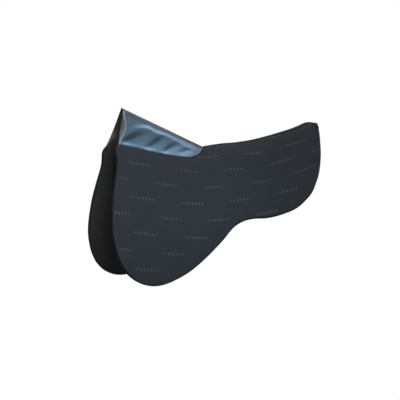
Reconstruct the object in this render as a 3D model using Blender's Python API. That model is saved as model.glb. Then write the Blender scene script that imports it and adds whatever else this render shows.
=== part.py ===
"""A saddle half pad: two padded side panels joined along the spine, with a leather-look cover
folded over the withers.

Metres. X runs from the withers (-X) to the cantle (+X), -Y is the horse's left side and +Z is up.
The origin is on the underside of the pad, on the spine, where the horse's back carries it.
"""

import bmesh
import bpy
import numpy as np
from mathutils import Vector

# Side view of a panel, as (x, z) along its outer face. The four runs meet end to end.
TOP_RUN = [
    (-0.283, 0.003), (-0.238, 0.000), (-0.178, -0.013), (-0.120, -0.022),
    (-0.096, -0.021), (-0.080, -0.015), (-0.069, -0.007), (-0.058, 0.0015),
    (-0.042, 0.005), (-0.005, 0.011), (0.040, 0.0155), (0.100, 0.027), (0.190, 0.053),
    (0.230, 0.069), (0.2485, 0.0655),
]
REAR_RUN = [
    (0.2485, 0.0655), (0.246, 0.0495), (0.2385, 0.0215), (0.227, -0.0175), (0.2115, -0.0565),
    (0.1945, -0.0865), (0.1755, -0.1115),
]
BOTTOM_RUN = [
    (-0.284, -0.2845), (-0.266, -0.3015), (-0.240, -0.313), (-0.212, -0.315),
    (-0.181, -0.3065), (-0.140, -0.286), (-0.101, -0.257), (-0.058, -0.219),
    (-0.027, -0.188), (-0.002, -0.1735), (0.025, -0.167), (0.062, -0.165),
    (0.099, -0.1565), (0.138, -0.141), (0.1755, -0.1115),
]
FRONT_RUN = [
    (-0.283, 0.003), (-0.2875, -0.0145), (-0.291, -0.0485), (-0.2995, -0.0875),
    (-0.307, -0.1275), (-0.3115, -0.1765), (-0.3105, -0.2115), (-0.303, -0.2465),
    (-0.294, -0.2685), (-0.284, -0.2845),
]

# Cross-section of the panels: the half-width grows with the depth below this crest line.
CREST = [
    (-0.300, 0.0285), (-0.170, 0.0125), (-0.100, 0.007), (-0.055, 0.008), (-0.010, 0.0145),
    (0.040, 0.019), (0.100, 0.0305), (0.190, 0.0565), (0.250, 0.080),
]
SHOULDER = (0.0527, 0.018)  # width of the round of the back, at the withers and at the cantle
SHOULDER_DEPTH = 0.0126  # depth over which the shoulder rounds off
SPREAD = (0.326, 0.78)  # outward slope of the sides, at the withers and at the cantle
SPREAD_DEPTH = (0.3925, 0.25)  # depth over which the sides turn upright
BLEND_FROM, BLEND_LENGTH = -0.30, 0.53  # stretch of x over which the section changes

# Thicknesses of a panel and of its layers.
EDGE_THICKNESS = 0.008
CROWN_OUT, CROWN_IN = 0.003, 0.004
CROWN_REACH = 0.025  # the panel is at its full thickness this far from its edge
COVER_THICKNESS = 0.0012
LINING_THICKNESS = 0.0025
GAP = 0.0003
BINDING_THICKNESS = 0.0012
BINDING_GAP = 0.0007
BINDING_REACH = 0.40  # how far the binding laps the faces, as a share of the outer row of facets
EDGE_ROW = 0.009  # width of that outer row

# The wither cover: a folded sheet from a straight ridge down to the panels' top edges.
RIDGE_FRONT = (-0.258, 0.0927)
RIDGE_REAR = (-0.048, 0.002)
SEAM_COLUMNS = 13  # columns of the panel's facets that carry the cover
SEAM_DEPTH = 0.0035  # the cover lands this far inside the panel's outer face
SEAM_LIFT = 0.0008  # and this far above the panel's top edge
FOLD_SHARE, FOLD_LENGTH = 0.25, 0.10  # how fast the sides fall away from the ridge
COVER_ROWS = (0, 0.06, 0.15, 0.29, 0.46, 0.64, 0.82, 1)  # rows from the ridge to a seam
LEATHER_THICKNESS = 0.0012
WITHER_LINING_THICKNESS = 0.0010
CURL_IN, CURL_LENGTH, CURL_ROUND = 0.0060, 0.009, 0.7  # the front edge rolls inwards
HOLLOW_DEPTH = 0.0030  # shallow dents along each side, where the sheet isn't stretched
HOLLOWS = ((0.19, 0.52, 0.125, 0.17), (0.44, 0.50, 0.10, 0.17), (0.67, 0.52, 0.08, 0.16))
HEM_WIDTH, HEM_THICKNESS, HEM_CORNER = 0.0080, 0.0036, 0.35

# Tapes along the spine, over and under the panels' top edges.
STRIP_THICKNESS, STRIP_CROWN = 0.0014, 0.0006
STRIP_LAP = 0.0055  # how far a tape lies over each panel
STRIP_GAP = 0.0006
STRIP_START = 0.0012  # the tapes start this far behind the cover's seam

# Each side folds on a straight axis beside the spine, through these points of the side view.
FOLD_FRONT = (-0.055, -0.0085)
FOLD_REAR = (0.240, 0.0610)
FOLD_OUT = 0.008  # distance of the two axes from the middle plane

# Facets of a panel, closer together where its top edge turns up behind the cover.
COLUMNS, ROWS = 26, 9
CLOSE_AT, CLOSENESS = 0.42, 0.35
SHARP_FROM = 0.6  # edges that turn by more than this angle stay sharp, in radians

# How finely the curves are read before they become facets.
CURVE_STEPS, CREST_STEPS, RING_STEPS = 24, 200, 120
NORMAL_STEP, SEAM_STEP = 0.002, 0.01
LAP_TRIES = 6


def through(points):
    """An even-speed curve through the points: a function of the share of its length."""
    p = np.array(points, float)
    p = np.vstack([2 * p[0] - p[1], p, 2 * p[-1] - p[-2]])
    t = np.linspace(0, 1, CURVE_STEPS, endpoint=False)[:, None]
    pieces = []
    for a, b, c, d in zip(p, p[1:], p[2:], p[3:]):
        pieces.append(
            0.5 * (2 * b + (c - a) * t + (2 * a - 5 * b + 4 * c - d) * t**2
                   + (3 * b - a - 3 * c + d) * t**3)
        )
    path = np.vstack(pieces + [p[-2][None]])
    run = np.concatenate([[0], np.cumsum(np.linalg.norm(np.diff(path, axis=0), axis=1))])
    return lambda share: np.array([np.interp(share, run / run[-1], axis) for axis in path.T])


top, rear, bottom, front = map(through, (TOP_RUN, REAR_RUN, BOTTOM_RUN, FRONT_RUN))
crest_x, crest_z = through(CREST)(np.linspace(0, 1, CREST_STEPS))


def patch(u, v):
    """Side-view point of a panel: u from the front to the rear, v from the top to the bottom."""
    sides = (1 - v) * top(u) + v * bottom(u) + (1 - u) * front(v) + u * rear(v)
    corners = (1 - u) * ((1 - v) * top(0) + v * bottom(0)) + u * ((1 - v) * top(1) + v * bottom(1))
    return sides - corners


def half_width(x, z):
    """Distance of a panel's outer face from the middle plane."""
    w = np.clip((x - BLEND_FROM) / BLEND_LENGTH, 0, 1)
    w = w * w * (3 - 2 * w)
    shoulder, spread, reach = (a + (b - a) * w for a, b in (SHOULDER, SPREAD, SPREAD_DEPTH))
    depth = np.maximum(np.interp(x, crest_x, crest_z) - z, 0)
    return shoulder * (1 - np.exp(-depth / SHOULDER_DEPTH)) + spread * reach * np.tanh(depth / reach)


def panel_point(x, z):
    return np.array([x, -half_width(x, z), z])


def unit(vector):
    return vector / np.linalg.norm(vector)


def panel_normal(x, z):
    """Outward normal of the left panel's outer face. The upward step lies mostly below the
    point, because the face ends at the crest."""
    along = panel_point(x + NORMAL_STEP, z) - panel_point(x - NORMAL_STEP, z)
    upward = panel_point(x, z + NORMAL_STEP / 2) - panel_point(x, z - NORMAL_STEP * 3 / 2)
    return unit(np.cross(along, upward))


def shares(count, edge):
    """Shares from 0 to 1 with a narrow first and last step."""
    return np.concatenate([[0], np.linspace(edge, 1 - edge, count - 1), [1]])


def column_shares():
    """Shares of the panel's length at its columns of facets."""
    even = shares(COLUMNS, EDGE_ROW / np.linalg.norm(top(1) - top(0)))
    turn = 2 * np.pi
    return even - CLOSENESS / turn * (np.sin(turn * (even - CLOSE_AT)) + np.sin(turn * CLOSE_AT))


class Panel:
    """The left panel's outer face as a grid of points, with normals and the crown at each."""

    def __init__(self):
        self.points = np.zeros((COLUMNS + 1, ROWS + 1, 3))
        self.normals = np.zeros_like(self.points)
        for i, u in enumerate(column_shares()):
            height = np.linalg.norm(patch(u, 1) - patch(u, 0))
            for j, v in enumerate(shares(ROWS, EDGE_ROW / height)):
                x, z = patch(u, v)
                self.points[i, j] = panel_point(x, z)
                self.normals[i, j] = panel_normal(x, z)
        ring = [panel_point(*run(s)) for run in (top, rear, bottom, front)
                for s in np.linspace(0, 1, RING_STEPS)]
        away = self.points[:, :, None] - np.array(ring)[None, None]
        inside = np.clip(np.linalg.norm(away, axis=3).min(axis=2) / CROWN_REACH, 0, 1)
        self.crown = np.sqrt(1 - (1 - inside) ** 2)
        self.crown[[0, -1]] = 0
        self.crown[:, [0, -1]] = 0
        self.outer = -CROWN_OUT * self.crown
        self.inner = EDGE_THICKNESS + CROWN_IN * self.crown

    def neighbour(self, i, j):
        """The next grid point inwards from a point on the bound part of the edge."""
        across = 1 if i == 0 else -1 if i == COLUMNS else 0
        return i + across, j - (1 if j == ROWS else 0)

    def layer(self, depth, inset=0.0):
        """Points at this depth below the outer face, with the bound edge drawn in."""
        points = self.points - self.normals * depth[:, :, None]
        drawn = points.copy()
        for i, j in self.bound_edge():
            drawn[i, j] += inset * unit(points[self.neighbour(i, j)] - points[i, j])
        return drawn

    def bound_edge(self):
        """Grid indices round the front, the bottom and the rear."""
        down = [(0, j) for j in range(ROWS)]
        along = [(i, ROWS) for i in range(COLUMNS + 1)]
        up = [(COLUMNS, j) for j in range(ROWS - 1, -1, -1)]
        return down + along + up


def clear_scene():
    for obj in list(bpy.data.objects):
        bpy.data.objects.remove(obj, do_unlink=True)


def material(name, colour, roughness, metallic=0.0):
    made = bpy.data.materials.new(name)
    made.use_nodes = True
    shader = made.node_tree.nodes["Principled BSDF"]
    shader.inputs["Base Color"].default_value = (*colour, 1)
    shader.inputs["Roughness"].default_value = roughness
    shader.inputs["Metallic"].default_value = metallic
    return made


def body(name, out):
    """An empty on the fold's line at this distance from the middle plane, its X along the line."""
    empty = bpy.data.objects.new(name, None)
    empty.location = FOLD_FRONT[0], out, FOLD_FRONT[1]
    rise = (FOLD_REAR[1] - FOLD_FRONT[1]) / (FOLD_REAR[0] - FOLD_FRONT[0])
    empty.rotation_euler.y = -np.arctan(rise)
    bpy.context.collection.objects.link(empty)
    return empty


def finish(name, mesh, finish_of, parent):
    """Turns the bmesh into a named object with its material, on its parent."""
    if name.startswith("right"):
        bmesh.ops.scale(mesh, vec=(1, -1, 1), verts=mesh.verts)
    bmesh.ops.recalc_face_normals(mesh, faces=mesh.faces)
    data = bpy.data.meshes.new(name)
    mesh.to_mesh(data)
    mesh.free()
    data.shade_smooth()
    data.set_sharp_from_angle(angle=SHARP_FROM)
    data.materials.append(finish_of)
    obj = bpy.data.objects.new(name, data)
    bpy.context.collection.objects.link(obj)
    obj.parent = parent
    obj.matrix_parent_inverse = parent.matrix_basis.inverted()


def slab(near, far):
    """A closed sheet between two grids of points: a grid, shaped and then extruded."""
    columns, rows = near.shape[0] - 1, near.shape[1] - 1
    mesh = bmesh.new()
    bmesh.ops.create_grid(mesh, x_segments=columns, y_segments=rows, size=0.5)
    place = {}
    for vert in mesh.verts:
        place[vert] = round((vert.co.x + 0.5) * columns), round((vert.co.y + 0.5) * rows)
    for vert, (i, j) in place.items():
        vert.co = Vector(near[i, j])
    grown = bmesh.ops.extrude_face_region(
        mesh, geom=mesh.verts[:] + mesh.edges[:] + mesh.faces[:], use_keep_orig=True
    )
    before = {tuple(vert.co): where for vert, where in place.items()}
    for vert in (e for e in grown["geom"] if isinstance(e, bmesh.types.BMVert)):
        vert.co = Vector(far[before[tuple(vert.co)]])
    return mesh


def swept(sections):
    """A closed bar: a first section extruded through the others, point to point."""
    mesh = bmesh.new()
    cap = mesh.faces.new([mesh.verts.new(point) for point in sections[0]])
    place = {tuple(vert.co): k for k, vert in enumerate(cap.verts)}
    for section in sections[1:]:
        grown = bmesh.ops.extrude_face_region(
            mesh, geom=[*cap.verts, *cap.edges, cap], use_keep_orig=section is sections[1]
        )
        cap = next(e for e in grown["geom"] if isinstance(e, bmesh.types.BMFace))
        moved = {}
        for vert in cap.verts:
            k = place[tuple(vert.co)]
            vert.co = section[k]
            moved[tuple(vert.co)] = k
        place = moved
    bmesh.ops.triangulate(mesh, faces=[f for f in mesh.faces if len(f.verts) > 4])
    return mesh


def make_panels(panel, finishes, parents):
    """The three layers of each side: outer cover, foam and mesh lining."""
    inset = BINDING_THICKNESS + BINDING_GAP
    layers = {
        "outer_cover": (panel.outer, panel.outer + COVER_THICKNESS),
        "foam_core": (
            panel.outer + COVER_THICKNESS + GAP,
            panel.inner - LINING_THICKNESS - GAP,
        ),
        "mesh_lining": (panel.inner - LINING_THICKNESS, panel.inner),
    }
    for side, parent in parents.items():
        for layer, (near, far) in layers.items():
            mesh = slab(panel.layer(near, inset), panel.layer(far, inset))
            finish(f"{side}_{layer}", mesh, finishes[layer], parent)


def make_bindings(panel, binding, parents):
    """A folded tape round the front, bottom and rear edges of each side."""
    inset = BINDING_THICKNESS + BINDING_GAP
    outer, inner = panel.layer(panel.outer, inset), panel.layer(panel.inner, inset)
    edge = panel.bound_edge()
    sections = []
    for k, (i, j) in enumerate(edge):
        behind, ahead = edge[max(k - 1, 0)], edge[min(k + 1, len(edge) - 1)]
        along = unit(outer[ahead] - outer[behind])
        normal = panel.normals[i, j]
        away = unit(np.cross(along, normal))
        if away @ (outer[i, j] - outer[panel.neighbour(i, j)]) < 0:
            away = -away
        lap = []
        for face in (outer, inner):
            inwards = face[panel.neighbour(i, j)] - face[i, j]
            lap.append(face[i, j] + BINDING_REACH * inwards)
        section = []
        for reach in (BINDING_GAP + BINDING_THICKNESS, BINDING_GAP):
            loop = [
                lap[0] + normal * reach,
                outer[i, j] + (normal + away) * reach,
                inner[i, j] + (away - normal) * reach,
                lap[1] - normal * reach,
            ]
            section += loop if reach > BINDING_GAP else loop[::-1]
        sections.append(section)
    for side, parent in parents.items():
        finish(f"{side}_edge_binding", swept(sections), binding, parent)


def seam_point(s):
    """Where the wither cover's left edge lands on the panel's top edge, s from the front."""
    u = s * column_shares()[SEAM_COLUMNS]
    x, z = top(u)
    normal = panel_normal(x, z)
    ahead, behind = (panel_point(*top(np.clip(u + d, 0, 1))) for d in (SEAM_STEP, -SEAM_STEP))
    upward = unit(np.cross(normal, ahead - behind))
    if upward[2] < 0:
        upward = -upward
    return panel_point(x, z) - normal * SEAM_DEPTH + upward * SEAM_LIFT


def cover_point(s, t):
    """The wither cover's outer face: s from the front to the rear, t from 0 at the ridge to 1
    at the left seam and -1 at the right one."""
    down = abs(t)
    ridge = np.array([
        RIDGE_FRONT[0] + (RIDGE_REAR[0] - RIDGE_FRONT[0]) * s, 0.0,
        RIDGE_FRONT[1] + (RIDGE_REAR[1] - RIDGE_FRONT[1]) * s,
    ])
    seam = seam_point(s)
    point = ridge + (seam - ridge) * down
    fall = FOLD_SHARE * (1 - np.exp(-down / FOLD_LENGTH)) + (1 - FOLD_SHARE) * down
    fall /= FOLD_SHARE * (1 - np.exp(-1 / FOLD_LENGTH)) + (1 - FOLD_SHARE)
    from_front = s * (RIDGE_REAR[0] - RIDGE_FRONT[0])
    curl = CURL_IN * np.exp(-from_front / CURL_LENGTH) * np.sin(np.pi * down) ** CURL_ROUND
    hollow = sum(
        np.exp(-(((s - at) / long) ** 2) - (((down - middle) / wide) ** 2))
        for at, middle, long, wide in HOLLOWS
    )
    point[1] = seam[1] * fall + curl + HOLLOW_DEPTH * hollow
    if t < 0:
        point[1] = -point[1]
    return point


def cover_grid():
    """Points and normals of the wither cover's outer face."""
    across = np.concatenate([COVER_ROWS[::-1], np.negative(COVER_ROWS[1:])])
    stops = column_shares()[: SEAM_COLUMNS + 1]
    along = np.delete(stops, 1) / stops[-1]
    points = np.array([[cover_point(s, t) for t in across] for s in along])
    normals = np.zeros_like(points)
    for i in range(points.shape[0]):
        for j in range(points.shape[1]):
            a, b = points[max(i - 1, 0), j], points[min(i + 1, points.shape[0] - 1), j]
            c, d = points[i, max(j - 1, 0)], points[i, min(j + 1, points.shape[1] - 1)]
            normals[i, j] = unit(np.cross(b - a, d - c))
    return points, normals


def make_wither(finishes, parent):
    """The folded leather-look cover and its lining, which stop short of the hem."""
    points, normals = cover_grid()
    depth = LEATHER_THICKNESS + GAP
    room = HEM_WIDTH + GAP
    drawn = points.copy()
    drawn[0] += room * np.array([unit(b - a) for a, b in zip(points[0], points[1])])
    finish("wither_cover", slab(drawn, drawn - normals * LEATHER_THICKNESS),
           finishes["wither_cover"], parent)
    under = drawn - normals * depth
    finish("wither_lining", slab(under, under - normals * WITHER_LINING_THICKNESS),
           finishes["wither_lining"], parent)


def make_hem(binding, parent):
    """The turned hem: an oval bar along the cover's front edge, from seam to seam."""
    points, normals = cover_grid()
    middle = (LEATHER_THICKNESS + GAP + WITHER_LINING_THICKNESS) / 2
    corner = HEM_CORNER
    outline = [
        (-1, -corner), (-1 + corner / 2, -1), (1 - corner / 2, -1), (1, -corner),
        (1, corner), (1 - corner / 2, 1), (-1 + corner / 2, 1), (-1, corner),
    ]
    sections = []
    for front_point, next_point, normal in zip(points[0], points[1], normals[0]):
        back = unit(next_point - front_point)
        centre = front_point + back * HEM_WIDTH / 2 - normal * middle
        sections.append([
            tuple(centre + back * a * HEM_WIDTH / 2 + normal * b * HEM_THICKNESS / 2)
            for a, b in outline
        ])
    finish("wither_hem", swept(sections), binding, parent)


def make_strips(panel, finishes, parent):
    """The tapes that join the two sides, one over their top edges and one under them."""
    along = panel.points[:, 0, 0]
    start = along[SEAM_COLUMNS] + STRIP_START
    mirror = np.array([1, -1, 1])

    def at(x, rows):
        """Values of a row of the grid at this x, on its facets."""
        return np.array([np.interp(x, along, values) for values in rows.T])

    def lap_point(face, x):
        """The point of the panel's face that lies square across the tape from its edge at x."""
        edge = at(x, face[:, 0])
        ahead = unit(at(x + EDGE_ROW, face[:, 0]) - at(x - EDGE_ROW, face[:, 0]))
        place = x
        for _ in range(LAP_TRIES):
            lap = at(place, face[:, 0])
            lap = lap + unit(at(place, face[:, 1]) - lap) * STRIP_LAP
            place -= (lap - edge) @ ahead
        return lap

    for name, depth, facing in (("spine_strip", panel.outer, 1),
                                ("spine_lining_strip", panel.inner, -1)):
        face = panel.layer(depth)
        sections = []
        for x in (start, *along[SEAM_COLUMNS + 1 : COLUMNS]):
            normal = unit(at(x, panel.normals[:, 0])) * facing
            edge, lap = at(x, face[:, 0]), lap_point(face, x)
            near = [lap + normal * STRIP_GAP, edge + normal * STRIP_GAP]
            far = [p + normal * STRIP_THICKNESS for p in near]
            crest = (far[1] + far[1] * mirror) / 2 + np.array([0, 0, STRIP_CROWN * facing])
            lower = near + [p * mirror for p in near[::-1]]
            upper = [p * mirror for p in far] + [crest] + far[::-1]
            sections.append([tuple(p) for p in lower + upper])
        finish(name, swept(sections), finishes[name], parent)


def main():
    clear_scene()
    finishes = {
        "outer_cover": material("navy fabric", (0.028, 0.035, 0.045), 0.85),
        "foam_core": material("foam", (0.62, 0.60, 0.52), 0.95),
        "mesh_lining": material("spacer mesh", (0.012, 0.013, 0.014), 0.9),
        "wither_cover": material("leather look", (0.055, 0.085, 0.12), 0.25),
        "wither_lining": material("woven lining", (0.05, 0.048, 0.046), 0.9),
        "spine_strip": material("spine tape", (0.04, 0.042, 0.044), 0.8),
        "spine_lining_strip": material("lining tape", (0.02, 0.021, 0.022), 0.85),
    }
    binding = material("binding tape", (0.03, 0.032, 0.034), 0.8)
    hem = material("hem leather look", (0.09, 0.095, 0.10), 0.3)
    topline = body("topline_body", 0.0)
    sides = {"left": body("left_body", -FOLD_OUT), "right": body("right_body", FOLD_OUT)}
    panel = Panel()
    make_panels(panel, finishes, sides)
    make_bindings(panel, binding, sides)
    make_wither(finishes, topline)
    make_hem(hem, topline)
    make_strips(panel, finishes, topline)


main()
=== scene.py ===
"""Looks of a saddle half pad, built round its solids: fabric, spacer mesh, foam, edge tapes,
a folded leather-look wither cover, spine tapes and stitches, with a plain studio.

Metres, in the part's own axes: X from the withers to the cantle, -Y the horse's left, +Z up.
"""

import bmesh
import bpy
import numpy as np
from bpy.props import FloatProperty, FloatVectorProperty, PointerProperty
from mathutils import Matrix, Vector, kdtree


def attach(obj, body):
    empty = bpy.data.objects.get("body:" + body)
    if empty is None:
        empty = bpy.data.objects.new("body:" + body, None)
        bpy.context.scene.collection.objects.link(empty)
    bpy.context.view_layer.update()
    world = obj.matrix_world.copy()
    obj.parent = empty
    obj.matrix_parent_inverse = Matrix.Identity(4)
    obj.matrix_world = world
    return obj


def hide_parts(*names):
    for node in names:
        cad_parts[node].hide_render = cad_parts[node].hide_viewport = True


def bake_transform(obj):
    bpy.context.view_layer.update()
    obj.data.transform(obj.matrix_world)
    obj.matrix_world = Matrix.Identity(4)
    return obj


bl_info = {
    "name": "Saddle half pad",
    "version": (1, 0, 0),
    "blender": (4, 5, 0),
    "location": "View3D > Sidebar > Half pad",
    "description": "Fabric, spacer mesh, tapes, wither cover and stitches of a saddle half pad",
    "category": "Add Mesh",
}

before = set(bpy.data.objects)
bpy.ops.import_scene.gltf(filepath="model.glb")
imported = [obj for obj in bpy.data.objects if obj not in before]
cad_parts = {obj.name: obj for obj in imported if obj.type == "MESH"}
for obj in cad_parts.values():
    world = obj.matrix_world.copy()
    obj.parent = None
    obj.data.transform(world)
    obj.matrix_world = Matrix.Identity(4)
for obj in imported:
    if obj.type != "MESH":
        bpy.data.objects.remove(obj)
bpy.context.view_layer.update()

# Side view of a panel, as (x, z) along its outer face. The four runs meet end to end.
TOP_RUN = [
    (-0.283, 0.005), (-0.238, -0.003), (-0.178, -0.0155), (-0.120, -0.0228),
    (-0.096, -0.021), (-0.080, -0.015), (-0.069, -0.007), (-0.058, 0.0015),
    (-0.042, 0.005), (-0.005, 0.011), (0.040, 0.0155), (0.100, 0.027), (0.190, 0.053),
    (0.230, 0.069), (0.2485, 0.0655),
]
REAR_RUN = [
    (0.2485, 0.0655), (0.246, 0.0495), (0.2385, 0.0215), (0.227, -0.0175), (0.2115, -0.0565),
    (0.1945, -0.0865), (0.1755, -0.1115),
]
BOTTOM_RUN = [
    (-0.284, -0.2845), (-0.266, -0.3015), (-0.240, -0.313), (-0.212, -0.315),
    (-0.181, -0.3065), (-0.140, -0.286), (-0.101, -0.257), (-0.058, -0.219),
    (-0.027, -0.188), (-0.002, -0.1735), (0.025, -0.167), (0.062, -0.165),
    (0.099, -0.1565), (0.138, -0.141), (0.1755, -0.1115),
]
FRONT_RUN = [
    (-0.283, 0.005), (-0.2888, -0.004), (-0.2903, -0.014), (-0.2893, -0.031),
    (-0.2910, -0.0485), (-0.2995, -0.0875),
    (-0.307, -0.1275), (-0.3115, -0.1765), (-0.3105, -0.2115), (-0.303, -0.2465),
    (-0.294, -0.2685), (-0.284, -0.2845),
]

# Cross-section of the panels: the half-width grows with the depth below this crest line.
CREST = [
    (-0.300, 0.0285), (-0.170, 0.0125), (-0.100, 0.007), (-0.055, 0.008), (-0.010, 0.0145),
    (0.040, 0.019), (0.100, 0.0305), (0.190, 0.0565), (0.250, 0.080),
]
SHOULDER = (0.0527, 0.018)  # width of the round of the back, at the withers and at the cantle
SHOULDER_DEPTH = 0.0126
SPREAD = (0.326, 0.78)  # outward slope of the sides
SPREAD_DEPTH = (0.3925, 0.25)  # depth over which the sides turn upright
BLEND_FROM, BLEND_LENGTH = -0.30, 0.53

# Layers of a panel, as depths below its outer face.
EDGE_THICKNESS = 0.008
CROWN_OUT, CROWN_IN, CROWN_REACH = 0.003, 0.004, 0.025
SKIN, MESH, MESH_AT_EDGE, GAP = 0.0012, 0.0025, 0.0012, 0.0003
ROLL_DEPTH, ROLL_WIDTH = 0.0020, 0.0022  # the skin rolls in at every edge
MESH_ROLL, MESH_THIN = 0.0003, 0.005
DRAWN_IN = 0.0019  # the layers stop this far inside the outline, under the edge tape
FOAM_MARGIN = 0.0045

# Relief of the outer fabric.
CALM_EDGE = 0.02  # it fades out over this distance from the edge
UNEVEN = 0.00035  # soft waves all over the panels
UNEVEN_LENGTHS = (0.085, 0.034)
WAVE_COUNT, WAVE_STARTS = 7, 6.28  # waves of one length, and the range of their starts
TUCK_FOCUS = (-0.070, 0.010)  # the fabric is drawn in towards this point of the side view
TUCK_DEPTH, TUCK_REACH, TUCK_SPREAD, TUCK_COUNT = 0.0017, 0.075, 0.42, 17
TUCK_FROM, TUCK_RISE, TUCK_EDGE = 0.010, 0.018, 0.004  # where they begin, and fade at the edge
SEAM_BULGE, SEAM_BULGE_AT, SEAM_BULGE_WIDTH = 0.0008, 0.010, 0.005  # below the cover's seam
SEAM_BULGE_SHORT, SEAM_BULGE_SOFT = 0.012, 0.006  # it ends short of the cover's rear end

# Edge tape.
TAPE, TAPE_CLEAR = 0.0009, 0.0002
TAPE_LAP, TAPE_ROUND = 0.0055, 0.0042
TAPE_ROUNDS, TAPE_FLATS, TAPE_STEP = 11, 3, 0.0028
SEWN_AT = 0.0048  # the stitches run this far inside the outline

# The wither cover: a folded sheet from a straight ridge down to the panels' top edges.
RIDGE_FRONT, RIDGE_REAR = (-0.258, 0.0, 0.0927), (-0.048, 0.0, 0.002)
RIDGE_LENGTH = RIDGE_REAR[0] - RIDGE_FRONT[0]  # along X
SEAM_SHARE = 0.4427  # the seam runs over this share of the top edge
SEAM_DEPTH, SEAM_LIFT, SEAM_LIP, LINING_LIP = 0.0035, 0.0008, 0.0024, 0.0045
FOLD_SHARE, FOLD_LENGTH = 0.11, 0.08  # the round of the sheet over its ridge
FLARE = 0.20  # how much the cover's rear end curves outwards on its way down
LEATHER, WITHER_LINING = 0.0012, 0.0010
CURL_IN, CURL_ROUND, CURL_SOFT = 0.0060, 0.7, 0.12  # the front edge curls towards the middle
HEM_ENDS, HEM_MIDDLE, HEM_TAPER = 0.0034, 0.0098, 2.6  # the hem's width, and what its middle adds
HEM_PROUD, HEM_SQUARE = 0.0003, 4.0  # over the sheet, and how square its section is
FOOT_ROLL, FOOT_ROLL_WIDTH, ROLL_FADE = 0.0036, 0.0034, 0.40  # the cover puffs out over its seam

# The cover's folds, a soft crest or hollow each: its reach above and below its route, its depth
# and the route, as (x, z).
FOLDS = (
    (0.0058, 0.0150, -0.0038, (
        (-0.335, -0.072), (-0.310, -0.036), (-0.296, -0.016), (-0.276, 0.008), (-0.257, 0.027),
        (-0.2375, 0.039), (-0.220, 0.0435), (-0.204, 0.0435), (-0.194, 0.041), (-0.182, 0.034),
        (-0.170, 0.0305), (-0.156, 0.0275), (-0.140, 0.0205), (-0.122, 0.0115), (-0.1045, 0.003),
        (-0.084, -0.004),
    )),
    (0.0105, 0.0115, 0.0050, (
        (-0.290, -0.006), (-0.272, 0.005), (-0.253, 0.013), (-0.232, 0.018), (-0.214, 0.020),
        (-0.200, 0.022),
    )),
    (0.0080, 0.0076, 0.0042, (
        (-0.220, -0.014), (-0.205, -0.004), (-0.184, 0.007), (-0.169, 0.016), (-0.150, 0.022),
    )),
    (0.0066, 0.0064, 0.0034, (
        (-0.178, -0.021), (-0.164, -0.013), (-0.148, -0.003), (-0.132, 0.004), (-0.116, 0.007),
    )),
    (0.0056, 0.0056, 0.0021, ((-0.130, -0.016), (-0.119, -0.012), (-0.104, -0.008), (-0.084, -0.009))),
)
FOLDS_FADE, FOLDS_FOOT = 0.004, 0.012  # they fade in from the hem's crease and the seam
FOLDS_HEAD = 0.12  # and over this share of the way down from the ridge
COVER_BEND = 0.060  # passed as the cover's bend; the pieces are fixed where they lie and this size is not used

# Tapes along the spine.
SPINE_TAPE, SPINE_CLEAR, SPINE_CROWN = 0.0012, 0.0004, 0.0006
SPINE_LAP, SPINE_START, SPINE_END = 0.0055, -0.0455, 0.2448
SPINE_BEND = 0.014  # passed as the tapes' bend; the pieces are fixed where they lie and this size is not used

# The turned end of the outer spine tape, over the rear ends of the panels.
END_REACH = 0.048  # share of the rear edge that it runs down
END_CLEAR, END_OUT, END_LAP = 0.0018, 0.0012, 0.0090  # off the layers, past the outline, inwards
END_RISE, END_SLIM = 0.0010, 0.05  # in the middle it lies higher and is thinner by this share

# The photograph's view.
CAMERA_TARGET, CAMERA_DISTANCE = (-0.060, 0.0, -0.126), 2.2
CAMERA_AZIMUTH, CAMERA_ELEVATION, CAMERA_LENS, CAMERA_SENSOR = -20.5, 0.8252, 81.135, 36.0

# Where each soft light of the studio stands, its two sizes and its colour.
LIGHTS = {
    "key": ((-0.38, -1.04, 0.30), (0.36, 0.36), (1.0, 1.0, 1.0)),
    "top": ((0.50, 0.40, 1.25), (1.1, 0.6), (0.93, 0.97, 1.0)),
    "back": ((0.30, 1.40, 0.35), (0.8, 0.5), (1.0, 1.0, 1.0)),
}
FLOOR_RADIUS, FLOOR_SIDES, FLOOR_GREY, FLOOR_SEEN = 2.0, 96, 0.50, 0.82
SKY_LOW, SKY_HIGH = 0.2, 0.95  # the sky brightens between these heights
SKY_FRONT, SKY_REAR, SKY_DIM = -1.0, 0.3, 0.2  # and is dim at the withers' end

# One stitch, as a blunt spindle.
STITCH_SIDES, STITCH_RINGS, STITCH_BLUNT, STITCH_FLAT = 6, 5, 0.45, 0.9

# How finely the surfaces are read.
EDGE_STEPS = (0, 0.0003, 0.0007, 0.0012, 0.0019, 0.0029, 0.0045, 0.0068)  # from an edge
COLUMNS, ROWS = 190, 104
COVER_COLUMNS, COVER_ROWS, COVER_LIP = 130, 56, (1.4, 2.0)
COVER_FRONT, COVER_TOP = 1.15, 1.25  # how much closer its lines lie at the hem and at the ridge
HEM_STATIONS, HEM_SIDES, SPINE_STATIONS, SPINE_FLATS, SPINE_ROUNDS = 70, 24, 120, 6, 7
END_STOPS, END_STATIONS = 4, 48
CURVE_STEPS, CREST_STEPS, FOLD_STEPS, EDGE_READ, TOP_READ = 24, 200, 120, 400, 2000
NORMAL_STEP, SEAM_STEP, COVER_STEP = 0.0012, 0.01, 0.004
SHARP = 0.7  # edges that bend by a wider angle are drawn sharp
TURN = 2 * np.pi

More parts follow.
